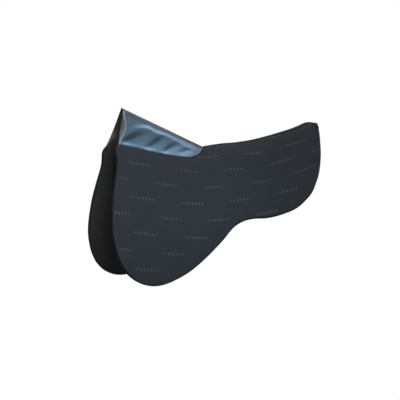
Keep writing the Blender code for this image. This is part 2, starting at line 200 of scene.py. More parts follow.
# Real sizes in the finishes. A pair is where a soft step begins and ends.
WEAVE, RIB, WEFT, TWILL, TWILL_THREAD = 0.0009, 0.0011, 0.0007, 0.0012, 0.0006
BARS_APART, ROWS_APART, BAR = 0.118, 0.041, (0.0280, 0.0286)  # the print: its rows and half a bar
LOZENGES_APART, LOZENGE, LOZENGE_TALL, LOZENGE_TAPER = 0.0082, 0.0031, 0.0052, 0.10
EDGE_PAINTED_SHADOW = (0.0022, 0.0060)  # painted shadow: the fabric darkens towards all its edges, under the tapes and the cover's seam
REAR_PAINTED_SHADE = (-0.03, 0.20)  # and painted shade darkens it towards the cantle
RIDGE_PAINTED_REFLECTION, FRONT_PAINTED_REFLECTION = (0.011, 0.022), (0.003, 0.011)  # painted reflection: the sheet is greyer this near the ridge and the hem
CREASE_PAINTED_HIGHLIGHT, CREASE_PAINTED_HIGHLIGHT_TOP = (0.0026, 0.0062), (0.004, 0.014)  # painted highlight along the hem's crease: how far behind the hem, and where it fades in below the ridge
LEATHER_PAINTED_SHADE, LEATHER_DULL = (0.09, 0.19), (0.165, 0.195)  # painted shade darkens it towards the rear, then it turns duller
PEBBLES, PORES = 1150.0, 1400.0  # grains a metre
# where the hem's inner face begins, a strip painted black for the shadow behind it, and painted light
# towards its crease
HEM_INSIDE, HEM_PAINTED_SHADOW, HEM_PAINTED_LIGHT = (-0.0006, 0.0), (0.0034, 0.0050), (0.003, 0.013)
HEM_FOOT_PAINTED_LIGHT = (0.050, 0.080)  # painted light: the hem is lighter from here down
LINING_PAINTED_SHADE = (0.070, 0.088)  # painted shade: the lining is darker from here down, deep inside the cover
HOLE_PAINTED_SHADE, FOAM = (0.003, 0.003, 0.0035), (0.55, 0.53, 0.45)  # colours: the mesh's holes, painted near black for the shade in them, and the foam


def colour(name, description, default):
    """A colour that a user can change."""
    return FloatVectorProperty(name=name, description=description, subtype="COLOR", default=default)


def length(name, description, default, low, high):
    """A size that a user can change, in metres."""
    return FloatProperty(
        name=name, description=description, unit="LENGTH", default=default, min=low, max=high
    )


def brightness(name, description, default):
    """A light's power or a brightness that a user can change."""
    return FloatProperty(name=name, description=description, default=default, min=0.0)


class PadFinish(bpy.types.PropertyGroup):
    """Colours of the panels."""

    fabric: colour("Fabric", "Outer fabric", (0.0195, 0.0250, 0.0325))
    print_colour: colour("Print", "Tone-on-tone print", (0.056, 0.068, 0.075))
    spacer: colour("Spacer mesh", "Threads of the mesh", (0.042, 0.044, 0.047))
    tape: colour("Tape", "Edge and spine tapes", (0.016, 0.018, 0.0205))
    hole_pitch: length("Hole pitch", "Distance between holes of the mesh", 0.0048, 0.001, 0.01)


class CoverFinish(bpy.types.PropertyGroup):
    """Colours of the wither cover, with painted reflections, a painted highlight and a painted shadow
    among them.
    """

    leather: colour("Leather look", "Glossy sheet", (0.100, 0.170, 0.245))
    # painted reflection: the neutral grey that the sheet shows along its fold
    ridge: colour("Ridge", "Sheet along the fold", (0.044, 0.048, 0.052))
    # painted highlight: the pale line behind the hem's crease
    wear_and_painted_highlight: colour("Worn crease", "Sheet rubbed pale at the hem's crease", (0.30, 0.335, 0.385))
    # painted reflection: the turned hem is greyer than the sheet
    hem: colour("Hem", "Turned front edge", (0.082, 0.085, 0.089))
    # painted shadow: near black where the gap behind the hem lies in shade
    black_painted_shadow: colour("Backing", "Black cloth that backs the sheet", (0.005, 0.005, 0.006))
    lining: colour("Lining", "Woven lining", (0.112, 0.116, 0.119))


class Sewing(bpy.types.PropertyGroup):
    """Stitches."""

    stitch: length("Stitch", "Length of a stitch", 0.0030, 0.001, 0.01)
    pause: length("Pause", "Space between stitches", 0.0011, 0.0003, 0.005)
    thread: length("Thread", "Thickness of the thread", 0.00045, 0.0001, 0.002)
    colour: colour("Colour", "Thread", (0.035, 0.042, 0.050))


class Studio(bpy.types.PropertyGroup):
    """Floor and lights."""

    floor_height: length("Floor", "Height of the floor", -1.2, -3.0, -0.32)
    key: brightness("Key light", "Power of the soft light in front", 10.5)
    top: brightness("Top light", "Power of the soft light overhead", 4.4)
    back: brightness("Back light", "Power of the soft light behind", 6.0)
    overhead: brightness("Overhead", "Brightness of the sky overhead", 0.60)
    horizon: brightness("Horizon", "Brightness of the sky at the horizon", 0.14)


# Curves and surfaces

def unit(vectors):
    return vectors / np.linalg.norm(vectors, axis=-1, keepdims=True)


def run_along(points):
    """The length along a row of points up to each of them."""
    return np.concatenate([[0], np.cumsum(np.linalg.norm(np.diff(points, axis=0), axis=1))])


def through(points, before=None, after=None):
    """An even-speed curve through the points: a function of the share of its length. It leaves
    and arrives in line with the points before and after it, where there are any."""
    p = np.array(points, float)
    before = 2 * p[0] - p[1] if before is None else before
    after = 2 * p[-1] - p[-2] if after is None else after
    p = np.vstack([before, p, after])
    t = np.linspace(0, 1, CURVE_STEPS, endpoint=False)[:, None]
    spans = []
    for a, b, c, d in zip(p, p[1:], p[2:], p[3:]):
        spans.append(
            0.5 * (2 * b + (c - a) * t + (2 * a - 5 * b + 4 * c - d) * t**2
                   + (3 * b - a - 3 * c + d) * t**3)
        )
    path = np.vstack([*spans, p[-2][None]])
    run = run_along(path)
    return lambda share: np.stack([np.interp(share, run / run[-1], axis) for axis in path.T], -1)


top = through(TOP_RUN)
rear = through(REAR_RUN, after=BOTTOM_RUN[-2])
bottom = through(BOTTOM_RUN, before=FRONT_RUN[-2], after=REAR_RUN[-2])
front = through(FRONT_RUN, after=BOTTOM_RUN[1])
crest_x, crest_z = through(CREST)(np.linspace(0, 1, CREST_STEPS)).T


def patch(u, v):
    """Side-view points of a panel: u from the front to the rear, v from the top to the bottom."""
    u, v = np.broadcast_arrays(np.asarray(u, float), np.asarray(v, float))
    a, b = u[..., None], v[..., None]
    sides = (1 - b) * top(u) + b * bottom(u) + (1 - a) * front(v) + a * rear(v)
    corners = (1 - a) * ((1 - b) * top(0) + b * bottom(0)) + a * ((1 - b) * top(1) + b * bottom(1))
    return sides - corners


def half_width(x, z):
    """Distance of a panel's outer face from the middle plane."""
    w = np.clip((x - BLEND_FROM) / BLEND_LENGTH, 0, 1)
    w = w * w * (3 - 2 * w)
    shoulder, spread, reach = (a + (b - a) * w for a, b in (SHOULDER, SPREAD, SPREAD_DEPTH))
    depth = np.maximum(np.interp(x, crest_x, crest_z) - z, 0)
    return shoulder * (1 - np.exp(-depth / SHOULDER_DEPTH)) + spread * reach * np.tanh(depth / reach)


def face_point(x, z):
    return np.stack([x, -half_width(x, z), z], -1)


def face_normal(x, z):
    """Outward normal of the left panel's outer face."""
    along = face_point(x + NORMAL_STEP, z) - face_point(x - NORMAL_STEP, z)
    upward = face_point(x, z + NORMAL_STEP / 2) - face_point(x, z - NORMAL_STEP * 3 / 2)
    return unit(np.cross(along, upward))


def fallen(x, z, steps=24):
    """Length along the face from the crest down to a point: the cloth's own height."""
    crest = np.interp(x, crest_x, crest_z)
    heights = crest + (z - crest) * np.linspace(0, 1, steps).reshape(-1, *[1] * np.ndim(x))
    widths = half_width(x, heights)
    return np.hypot(np.diff(heights, axis=0), np.diff(widths, axis=0)).sum(0)


def waves(points, wavelength, seed):
    """Soft unevenness round 0 over points in space, the same in each run."""
    pick = np.random.default_rng(seed)
    ways = unit(pick.normal(size=(WAVE_COUNT, 3)))
    total = 0
    for way, start in zip(ways, pick.uniform(0, WAVE_STARTS, WAVE_COUNT)):
        total = total + np.sin(points @ way * (TURN / wavelength) + start)
    return total / WAVE_COUNT**0.5


def crown(edge):
    """How far the padding has risen at a distance from the layers' edge, up to 1."""
    return np.sqrt(1 - (1 - np.clip(edge / CROWN_REACH, 0, 1)) ** 2)


def roll(edge):
    """How far the layers turn in at a distance from their edge, 1 at the edge itself."""
    return 1 - np.sqrt(1 - np.clip(1 - edge / ROLL_WIDTH, 0, 1) ** 2)


class Face:
    """The left panel's outer face, read finely, with what its layers are measured from."""

    def __init__(self, margin=0.0, columns=COLUMNS, rows=ROWS):
        width = np.linalg.norm(top(1) - top(0))
        height = np.linalg.norm(bottom(0.5) - top(0.5))
        ends, foot, head = (DRAWN_IN + margin) / width, (DRAWN_IN + margin) / height, margin / height
        u = self.stops(columns, width)[:, None] * (1 - 2 * ends) + ends
        v = self.stops(rows, height)[None] * (1 - head - foot) + head
        side = patch(u, v)
        self.x, self.z = side[..., 0], side[..., 1]
        self.points = face_point(self.x, self.z)
        self.normals = face_normal(self.x, self.z)
        self.cloth = np.stack([self.x, -fallen(self.x, self.z)], -1)
        self.edge = self.from_edge() + margin

    @staticmethod
    def stops(count, across):
        """Shares from 0 to 1 of the way across that lie closer at both ends."""
        near = np.array(EDGE_STEPS) / across
        return np.concatenate([near, np.linspace(near[-1], 1 - near[-1], count)[1:-1], 1 - near[::-1]])

    def from_edge(self):
        """Distance of each point from the layers' edge."""
        p = self.points
        rim = np.concatenate([p[0], p[-1], p[:, 0], p[:, -1]])
        tree = kdtree.KDTree(len(rim))
        for k, point in enumerate(rim):
            tree.insert(point, k)
        tree.balance()
        away = [tree.find(point)[2] for point in p.reshape(-1, 3)]
        return np.array(away).reshape(p.shape[:2])

    def relief(self):
        """How far the outer fabric stands out from its plain crowned form."""
        calm = np.clip(self.edge / CALM_EDGE, 0, 1)
        total = UNEVEN * calm * sum(waves(self.points, w, k) for k, w in enumerate(UNEVEN_LENGTHS))
        dx, dz = self.x - TUCK_FOCUS[0], TUCK_FOCUS[1] - self.z
        angle, away = np.arctan2(dx, dz), np.hypot(dx, dz)
        tucks = np.cos(angle * TUCK_COUNT) * np.exp(-((angle / TUCK_SPREAD) ** 2))
        near = np.clip((away - TUCK_FROM) / TUCK_RISE, 0, 1) * np.exp(-((away / TUCK_REACH) ** 2))
        total += TUCK_DEPTH * tucks * near * np.clip(self.edge / TUCK_EDGE, 0, 1)
        below = self.points[:, :1] - self.points
        down = np.linalg.norm(below, axis=-1)
        bulge = np.exp(-(((down - SEAM_BULGE_AT) / SEAM_BULGE_WIDTH) ** 2))
        behind = self.x - RIDGE_REAR[0] + SEAM_BULGE_SHORT
        under_cover = 1 / (1 + np.exp(behind / SEAM_BULGE_SOFT))
        return total + SEAM_BULGE * bulge * under_cover * calm

    def outer(self):
        return ROLL_DEPTH * roll(self.edge) - CROWN_OUT * crown(self.edge) - self.relief()

    def inner(self):
        return EDGE_THICKNESS + CROWN_IN * crown(self.edge) - MESH_ROLL * roll(self.edge)

    def at(self, depth):
        return self.points - self.normals * depth[..., None]


# Meshes

def made_mesh(mesh, name):
    """The finished bmesh as a mesh of this name."""
    data = bpy.data.meshes.new(name)
    mesh.to_mesh(data)
    mesh.free()
    return data


def stations(data, columns, rows):
    """Which column and row each point of a mesh grown from a plain grid is in, and its height."""
    place = np.empty(len(data.vertices) * 3, np.float32)
    data.vertices.foreach_get("co", place)
    place = place.reshape(-1, 3)
    i = np.rint((place[:, 0] + 0.5) * columns).astype(int)
    j = np.rint((place[:, 1] + 0.5) * rows).astype(int)
    return i, j, place[:, 2:]


def lay(data, points, cloth):
    """Moves the mesh's points to these, and gives it a UV map of their cloth coordinates."""
    data.vertices.foreach_set("co", points.astype(np.float32).ravel())
    corner = np.empty(len(data.loops), np.int32)
    data.loops.foreach_get("vertex_index", corner)
    layer = data.uv_layers.new(name="cloth")
    layer.data.foreach_set("uv", cloth[corner].astype(np.float32).ravel())


def slab(near, far, cloth, edge=None):
    """A closed sheet between two grids of points, with its cloth coordinates, and the distance
    from its edge as an attribute where that is given."""
    columns, rows = near.shape[0] - 1, near.shape[1] - 1
    mesh = bmesh.new()
    bmesh.ops.create_grid(mesh, x_segments=columns, y_segments=rows, size=0.5)
    grown = bmesh.ops.extrude_face_region(
        mesh, geom=mesh.verts[:] + mesh.edges[:] + mesh.faces[:], use_keep_orig=True
    )
    raised = [e for e in grown["geom"] if isinstance(e, bmesh.types.BMVert)]
    bmesh.ops.translate(mesh, vec=(0, 0, 1), verts=raised)
    bmesh.ops.recalc_face_normals(mesh, faces=mesh.faces)
    data = made_mesh(mesh, "sheet")
    i, j, height = stations(data, columns, rows)
    lay(data, np.where(height > 0.5, near[i, j], far[i, j]), cloth[i, j])
    if edge is not None:
        measure = data.attributes.new(name="edge", type="FLOAT", domain="POINT")
        measure.data.foreach_set("value", edge[i, j].astype(np.float32).ravel())
    return data


def swept(sections, across=None):
    """A closed bar through rings of points, section by section, whose cloth coordinates run along
    the bar, and round it or by the distances given."""
    spans, sides = sections.shape[0] - 1, sections.shape[1]
    mesh = bmesh.new()
    bmesh.ops.create_grid(mesh, x_segments=spans, y_segments=sides, size=0.5)
    data = made_mesh(mesh, "bar")
    i, j, _ = stations(data, spans, sides)
    ring = np.concatenate([sections, sections[:, :1]], axis=1)
    around = run_along(ring[(spans + 1) // 2])
    beside = around[j] if across is None else across[i, j % sides]
    lay(data, ring[i, j], np.stack([run_along(sections.mean(1))[i], beside], -1))
    mesh = bmesh.new()
    mesh.from_mesh(data)
    bmesh.ops.remove_doubles(mesh, verts=mesh.verts, dist=1e-6)
    bmesh.ops.holes_fill(mesh, edges=[e for e in mesh.edges if e.is_boundary], sides=0)
    bmesh.ops.triangulate(mesh, faces=[f for f in mesh.faces if len(f.verts) > 4])
    bmesh.ops.recalc_face_normals(mesh, faces=mesh.faces)
    mesh.to_mesh(data)
    mesh.free()
    return data


def pair(name, data, finish, bend=None):
    """Makes the mesh the left piece of this name and, mirrored, the right one, and returns both
    with their sides. Each rides on its side or, where a bend is given, is fixed where it lies;
    the bend's size is not used."""
    pieces = []
    for side, out, own in (("left", -1, data.copy()), ("right", 1, data)):
        title = f"{side}_{name}"
        mesh = bmesh.new()
        mesh.from_mesh(own)
        bmesh.ops.scale(mesh, vec=(1, -out, 1), verts=mesh.verts)
        if mesh.calc_volume(signed=True) < 0:
            bmesh.ops.reverse_faces(mesh, faces=mesh.faces)
        mesh.to_mesh(own)
        mesh.free()
        own.name = title
        own.shade_smooth()
        own.set_sharp_from_angle(angle=SHARP)
        own.materials.append(finish)
        piece = bpy.data.objects.new(title, own)
        bpy.context.scene.collection.objects.link(piece)
        if bend is None:
            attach(piece, f"{side}_side")
        else:
            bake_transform(piece)
        pieces.append((side, piece))
    return pieces


def cut(piece, cloth, held, **others):
    """Works out the area of the piece's cloth from its cloth coordinates, and does nothing with it."""
    across = cloth[1:, 1:] - cloth[:-1, :-1]
    down = cloth[1:, :-1] - cloth[:-1, 1:]
    area = abs(across[..., 0] * down[..., 1] - across[..., 1] * down[..., 0]).sum() / 2


def stitches(points, normals, look):
    """A mesh of the stitches that run along the points, half sunk in the cloth."""
    run = run_along(points)
    pitch = look.stitch + look.pause
    starts = np.arange(int(run[-1] / pitch)) * pitch + look.pause / 2
    ends, facing = (
        [np.stack([np.interp(stops, run, axis) for axis in what.T], -1) for stops in at]
        for what, at in ((points, (starts, starts + look.stitch)), (normals, (starts,)))
    )
    mesh = bmesh.new()
    bmesh.ops.create_uvsphere(mesh, u_segments=STITCH_SIDES, v_segments=STITCH_RINGS, radius=1)
    for vert in mesh.verts:
        vert.co.z = np.sign(vert.co.z) * abs(vert.co.z) ** STITCH_BLUNT
    one = made_mesh(mesh, "stitch")
    mesh = bmesh.new()
    size = Matrix.Diagonal((look.thread / 2, look.thread * STITCH_FLAT, look.stitch / 2, 1))
    for a, b, normal in zip(*ends, facing[0]):
        along = Vector(b - a).normalized()
        beside = along.cross(Vector(normal)).normalized()
        turn = Matrix((along.cross(beside), beside, along)).transposed().to_4x4()
        place = Matrix.Translation(Vector((a + b) / 2)) @ turn @ size
        one.transform(place)
        mesh.from_mesh(one)
        one.transform(place.inverted())
    bpy.data.meshes.remove(one)
    return made_mesh(mesh, "stitches")


# Shader maths

class Value:
    """What comes out of a node. Arithmetic on it adds Math nodes."""

    def __init__(self, finish, socket):
        self.finish, self.socket = finish, socket

    def math(self, operation, *others):
        return self.finish.node("ShaderNodeMath", {"operation": operation}, [self, *others])

    def __add__(self, other):
        return self.math("ADD", other)

    def __sub__(self, other):
        return self.math("SUBTRACT", other)

    def __mul__(self, other):
        return self.math("MULTIPLY", other)

    def __truediv__(self, other):
        return self.math("DIVIDE", other)

    def __radd__(self, other):
        return self + other

    def __rmul__(self, other):
        return self * other

    def __rsub__(self, other):
        return self * -1 + other

    def __abs__(self):
        return self.math("ABSOLUTE")

    def fraction(self):
        """From -0.5 to 0.5 within each whole step."""
        return self.math("FRACT") - 0.5

    def waves(self, pitch):
        """A sine wave of this pitch."""
        return (self * (TURN / pitch)).math("SINE")

    def rises(self, low, high):
        """0 below low, 1 above high, and a soft step between them."""
        settings = {"interpolation_type": "SMOOTHSTEP"}
        return self.finish.node("ShaderNodeMapRange", settings, {0: self, 1: low, 2: high})


class Nodes:
    """The nodes of a material or a world that is being made."""

    def __init__(self, owner):
        owner.use_nodes = True
        self.nodes, self.links = owner.node_tree.nodes, owner.node_tree.links

    def feed(self, socket, value):
        if isinstance(value, Value):
            self.links.new(value.socket, socket)
        elif socket.type == "RGBA":
            socket.default_value = (*value, 1)
        else:
            socket.default_value = value

    def node(self, kind, settings, sockets=(), output=0):
        """A node of this type: its settings first, then the values or links of its sockets."""
        made = self.nodes.new(kind)
        for name, value in settings.items():
            setattr(made, name, value)
        pairs = sockets.items() if isinstance(sockets, dict) else enumerate(sockets)
        for key, value in pairs:
            self.feed(made.inputs[key], value)
        return Value(self, made.outputs[output])

    def ends_in(self, output, plain, seen):
        """Puts out one shader for the light that is cast, and another for what the camera sees."""
        camera = self.node("ShaderNodeLightPath", {}, output="Is Camera Ray")
        mixed = self.node("ShaderNodeMixShader", {}, [camera, plain, seen])
        self.feed(self.nodes[output].inputs[0], mixed)


class Finish(Nodes):
    """A material round one Principled BSDF."""

    def __init__(self, name, roughness, specular=0.5, metallic=0.0):
        self.material = bpy.data.materials.new(name)
        super().__init__(self.material)
        self.shader = self.nodes["Principled BSDF"]
        self.give("Roughness", roughness)
        self.give("Specular IOR Level", specular)
        self.give("Metallic", metallic)

    def give(self, words, value):
        """Sets or links the shader's socket of this name."""
        self.feed(self.shader.inputs[words], value)

    def cloth(self):
        """The two coordinates of the piece's own UV map, in metres."""
        uv = self.node("ShaderNodeUVMap", {"uv_map": "cloth"})
        return [self.node("ShaderNodeSeparateXYZ", {}, [uv], k) for k in (0, 1)]

    def edge(self):
        """Distance from the edge of the cloth."""
        return self.node("ShaderNodeAttribute", {"attribute_name": "edge"}, output="Fac")

    def place(self):
        return self.node("ShaderNodeTexCoord", {}, output="Object")

    def noise(self, scale, detail=2.0):
        sockets = {"Vector": self.place(), "Scale": scale, "Detail": detail}
        return self.node("ShaderNodeTexNoise", {}, sockets)

    def cells(self, scale):
        """Rounded grains, from 0 in the middle of each."""
        sockets = {"Vector": self.place(), "Scale": scale}
        return self.node("ShaderNodeTexVoronoi", {"feature": "F1"}, sockets)

    def mix(self, share, a, b):
        """The colour a, turning into b as the share goes from 0 to 1."""
        return self.node("ShaderNodeMix", {"data_type": "RGBA"}, {0: share, 6: a, 7: b}, 2)

    def tinted(self, shade, by):
        """The colour made lighter or darker by a value around 1."""
        light = self.node("ShaderNodeCombineXYZ", {}, [by, by, by])
        settings = {"data_type": "RGBA", "blend_type": "MULTIPLY"}
        return self.node("ShaderNodeMix", settings, {0: 1.0, 6: shade, 7: light}, 2)

    def bump(self, height, distance, strength):
        sockets = {"Height": height, "Distance": distance, "Strength": strength}
        self.give("Normal", self.node("ShaderNodeBump", {}, sockets))


def fabric_finish(look):
    """Fine plain weave with a sparse print: bars of small lozenges in a half drop, darkened by painted
    shade towards its edges and towards the cantle.
    """
    made = Finish("outer_fabric", 0.85, 0.2)
    u, v = made.cloth()
    row = (v / ROWS_APART).math("FLOOR")
    across = (u / BARS_APART + row * 0.5).fraction() * BARS_APART
    up = (v / ROWS_APART).fraction() * ROWS_APART
    cell = (across / LOZENGES_APART + 0.5).fraction() * LOZENGES_APART
    out = abs(across)
    lozenge = abs(cell) / LOZENGE + abs(up) / (LOZENGE_TALL - out * LOZENGE_TAPER)
    printed = (1 - lozenge.rises(0.80, 1.05)) * (1 - out.rises(*BAR))
    wear_and_painted_highlight = (made.noise(220, 3).rises(0.36, 0.62) * 0.45 + 0.45) * (made.noise(9, 1) * 1.5 + 0.1)
    weave = u.waves(WEAVE) * v.waves(WEAVE)
    fleck_and_painted_shade = made.noise(1500, 1) * 0.5 + made.noise(14) * 0.22 + 0.64
    # painted shadow: darker towards the cloth's edges
    fleck_and_painted_shade = fleck_and_painted_shade * (made.edge().rises(*EDGE_PAINTED_SHADOW) * 0.85 + 0.15)
    # painted shade: darker towards the cantle
    fleck_and_painted_shade = fleck_and_painted_shade * (1 - u.rises(*REAR_PAINTED_SHADE) * 0.22)
    made.give("Base Color", made.mix(printed * wear_and_painted_highlight, made.tinted(look.fabric, fleck_and_painted_shade), look.print_colour))
    made.bump(weave + made.noise(900, 1) * 1.4, 0.00006, 0.55)
    return made.material


def spacer_finish(look):
    """Knitted spacer mesh: a net of threads round diamond holes, painted near black for the shade inside
    them.
    """
    made = Finish("spacer_mesh", 0.78, 0.4)
    u, v = made.cloth()
    a, b = (abs((way / look.hole_pitch).fraction()) for way in (u + v, u - v))
    thread = (a.math("MAXIMUM", b) * 2).rises(0.56, 0.80)
    yarn = made.noise(2200) * 0.6 + 0.7
    # painted shade: the holes are near black
    made.give("Base Color", made.mix(thread, HOLE_PAINTED_SHADE, made.tinted(look.spacer, yarn)))
    made.bump(thread + made.noise(2600, 1) * 0.25, 0.0006, 0.9)
    return made.material


def tape_finish(name, shade):
    """Ribbed woven tape."""
    made = Finish(name, 0.75, 0.25)
    u, v = made.cloth()
    rib = u.waves(RIB)
    weft = v.waves(WEFT) * 0.3
    made.give("Base Color", made.tinted(shade, rib * 0.08 + made.noise(700) * 0.3 + 0.85))
    made.bump(rib + weft, 0.00009, 0.7)
    return made.material


def leather_finish(look):
    """Glossy leather look, painted greyer along the fold and the crease for the neutral reflection
    there, with a painted highlight behind the crease, painted shade towards the rear and a fine pebbled
    grain.
    """
    made = Finish("leather_look", 0.26, 0.4)
    u, v = made.cloth()
    # painted reflection: greyer near the ridge and the hem
    painted_reflection_band = (1 - v.rises(*RIDGE_PAINTED_REFLECTION)).math("MAXIMUM", 0.5 - u.rises(*FRONT_PAINTED_REFLECTION) * 0.5)
    # painted highlight: pale along the hem's crease, varying at random in strength
    painted_crease_highlight = (1 - u.rises(*CREASE_PAINTED_HIGHLIGHT)) * v.rises(*CREASE_PAINTED_HIGHLIGHT_TOP)
    wear_and_painted_highlight = painted_crease_highlight * (made.noise(240) * 0.5 + 0.65)
    # painted shade: darker towards the rear
    leather_tone_and_painted_shade = (made.noise(45) * 0.2 + 0.9) * (1 - u.rises(*LEATHER_PAINTED_SHADE) * 0.28)
    skin = made.mix(painted_reflection_band * 0.95, look.leather, look.ridge)
    made.give("Base Color", made.tinted(made.mix(wear_and_painted_highlight, skin, look.wear_and_painted_highlight), leather_tone_and_painted_shade))
    made.bump(made.cells(PEBBLES) + made.noise(500) * 0.6, 0.0001, 0.22)
    dull = u.rises(*LEATHER_DULL)
    rough = made.noise(160) * 0.06 + 0.30 + painted_reflection_band * 0.06 + dull * 0.25
    made.give("Roughness", rough)
    made.give("Metallic", 0.88 - painted_reflection_band * 0.25 - dull * 0.4)
    return made.material


def hem_finish(look):
    """The same sheet turned under at the front, painted greyer for the reflection it shows and lighter
    by painted light towards its crease and lower down, with a strip painted black for the shadow in the
    gap behind it.
    """
    made = Finish("hem_leather_look", 0.36, 0.4, 0.2)
    along, behind = made.cloth()
    inside = 1 - behind.rises(*HEM_INSIDE)
    # painted shadow: a black strip along the hem's edge
    black_painted_shadow = (1 - behind.rises(*HEM_PAINTED_SHADOW)) * (1 - inside)
    # painted light: lighter towards the crease and lower down
    shade = made.noise(90) * 0.3 + 0.33 + behind.rises(*HEM_PAINTED_LIGHT) * 0.85
    shade = shade + along.rises(*HEM_FOOT_PAINTED_LIGHT) * 0.90
    # painted reflection: the hem's grey, with the lining's colour on its inner face
    skin = made.tinted(made.mix(inside, look.hem, look.lining), shade)
    made.give("Base Color", made.mix(black_painted_shadow, skin, look.black_painted_shadow))
    made.bump(made.cells(PEBBLES), 0.00012, 0.3)
    made.give("Roughness", black_painted_shadow * 0.45 + 0.36)
    return made.material


def lining_finish(look):
    """Twill lining of the cover, darker lower down by painted shade."""
    made = Finish("woven_lining", 0.85, 0.3)
    u, v = made.cloth()
    twill = (u + v).waves(TWILL)
    thread = (u - v).waves(TWILL_THREAD) * 0.4
    # painted shade: darker lower down
    shade = (twill * 0.14 + made.noise(300) * 0.4 + 0.8) * (1 - v.rises(*LINING_PAINTED_SHADE) * 0.7)
    made.give("Base Color", made.tinted(look.lining, shade))
    made.bump(twill + thread, 0.0001, 0.8)
    return made.material


def foam_finish():
    """Open-cell foam, with painted shade darkening the middle of each pore."""
    made = Finish("foam", 0.95, 0.2)
    pores = made.cells(PORES)
    # painted shade: darker in the middle of each pore
    made.give("Base Color", made.tinted(FOAM, pores * 0.3 + 0.8))
    made.bump(pores, 0.0002, 0.6)
    return made.material


def thread_finish(shade):
    """Sewing thread, lighter and darker along its fibres."""
    made = Finish("thread", 0.55)
    made.give("Base Color", made.tinted(shade, made.noise(3000, 1) * 0.5 + 0.75))
    return made.material


# The wither cover's surface

def seam(share):
    """Points of the cover's left edge on the panel's top edge, the way up over the edge, and the
    panel's normals there."""
    u = np.asarray(share) * SEAM_SHARE
    side = top(u)
    normal = face_normal(side[..., 0], side[..., 1])
    ahead, behind = top(np.clip(u + SEAM_STEP, 0, 1)), top(np.clip(u - SEAM_STEP, 0, 1))
    along = face_point(*np.moveaxis(ahead, -1, 0)) - face_point(*np.moveaxis(behind, -1, 0))
    upward = unit(np.cross(normal, along))
    upward = np.where(upward[..., 2:] < 0, -upward, upward)
    point = face_point(side[..., 0], side[..., 1]) - normal * SEAM_DEPTH + upward * SEAM_LIFT
    return point, upward, normal


def hem_width(t):
    """Width of the turned hem, t from the ridge to the seam."""
    return HEM_ENDS + HEM_MIDDLE * np.sin(np.pi * np.clip(t, 0, 1)) ** HEM_TAPER


def folds(points):
    """How far the soft folds push the cover's face out, or in, at these points."""
    total = 0
    for above, below, depth, route in FOLDS:
        share = np.linspace(0, 1, FOLD_STEPS)
        stops = through(route)(share)
        offset = points[..., None, ::2] - stops
        away = np.linalg.norm(offset, axis=-1)
        near = away.argmin(-1)
        ahead = np.gradient(stops, axis=0)[near]
        offset = np.take_along_axis(offset, near[..., None, None], -2)[..., 0, :]
        higher = ahead[..., 0] * offset[..., 1] - ahead[..., 1] * offset[..., 0] > 0
        reach = away.min(-1) / np.where(higher, above, below)
        total = total + depth * np.exp(-(reach**2)) * np.sin(np.pi * share[near])
    return total


def cover(s, t):
    """The cover's outer face on the left: s from the front to the rear, t from the ridge to the
    seam, and past 1 down into the seam."""
    s, t = np.broadcast_arrays(np.asarray(s, float), np.asarray(t, float))
    down = np.clip(t, 0, 1)
    a, b = np.array(RIDGE_FRONT), np.array(RIDGE_REAR)
    ridge = a + (b - a) * s[..., None]
    foot, upward, _ = seam(s)
    point = ridge + (foot - ridge) * down[..., None]
    fall = FOLD_SHARE * (1 - np.exp(-down / FOLD_LENGTH)) + (1 - FOLD_SHARE) * down
    fall /= FOLD_SHARE * (1 - np.exp(-1 / FOLD_LENGTH)) + (1 - FOLD_SHARE)
    fall *= 1 - FLARE * s * (1 - down)
    past = 1 - s * RIDGE_LENGTH / hem_width(t)
    curl = CURL_IN * np.sin(np.pi * down) ** CURL_ROUND * (past + np.hypot(past, CURL_SOFT)) / 2
    above = np.linalg.norm(foot - ridge, axis=-1) * (1 - down)
    calm = np.clip(above / FOLDS_FOOT, 0, 1) * np.clip(down / FOLDS_HEAD, 0, 1)
    calm *= 1 - np.exp(np.minimum(past * hem_width(t), 0) / FOLDS_FADE)
    near = above / FOOT_ROLL_WIDTH
    puff = FOOT_ROLL * near * np.exp(1 - near - s / ROLL_FADE)
    y = foot[..., 1] * fall + curl + folds(point) * calm - puff
    point = np.stack([point[..., 0], y, point[..., 2]], -1)
    return point - upward * (np.maximum(t - 1, 0) * SEAM_LIP)[..., None]


def lowered(points, t):
    """The lining's points, whose lip reaches further down between the foam and the mesh."""
    _, upward, _ = seam(np.linspace(0, 1, len(points)))
    return points - upward[:, None] * (np.maximum(t - 1, 0) * LINING_LIP)[..., None]


def cover_normal(s, t):
    """Outward normal of the left half of the cover."""
    low, high = np.maximum(s - COVER_STEP, 0), np.minimum(s + COVER_STEP, 1)
    over, under = np.maximum(np.minimum(t, 1) - COVER_STEP, 0), np.minimum(t + COVER_STEP, 1)
    face = unit(np.cross(cover(s, under) - cover(s, over), cover(high, t) - cover(low, t)))
    return np.where(np.asarray(t)[..., None] > 1, seam(s)[2], face)


def cover_grid():
    """Shares over the cover between the hem's crease and the rear, and from the ridge to the lip."""
    k = np.linspace(0, 1, COVER_COLUMNS)[:, None] ** COVER_FRONT
    t = np.concatenate([np.linspace(0, 1, COVER_ROWS) ** COVER_TOP, COVER_LIP])[None]
    crease = (hem_width(t) + GAP) / RIDGE_LENGTH
    s = crease + (1 - crease) * k
    return s, np.broadcast_to(t, s.shape)


class PartOperator:
    """What the operators of the pieces share."""

    bl_options = {"REGISTER", "UNDO"}


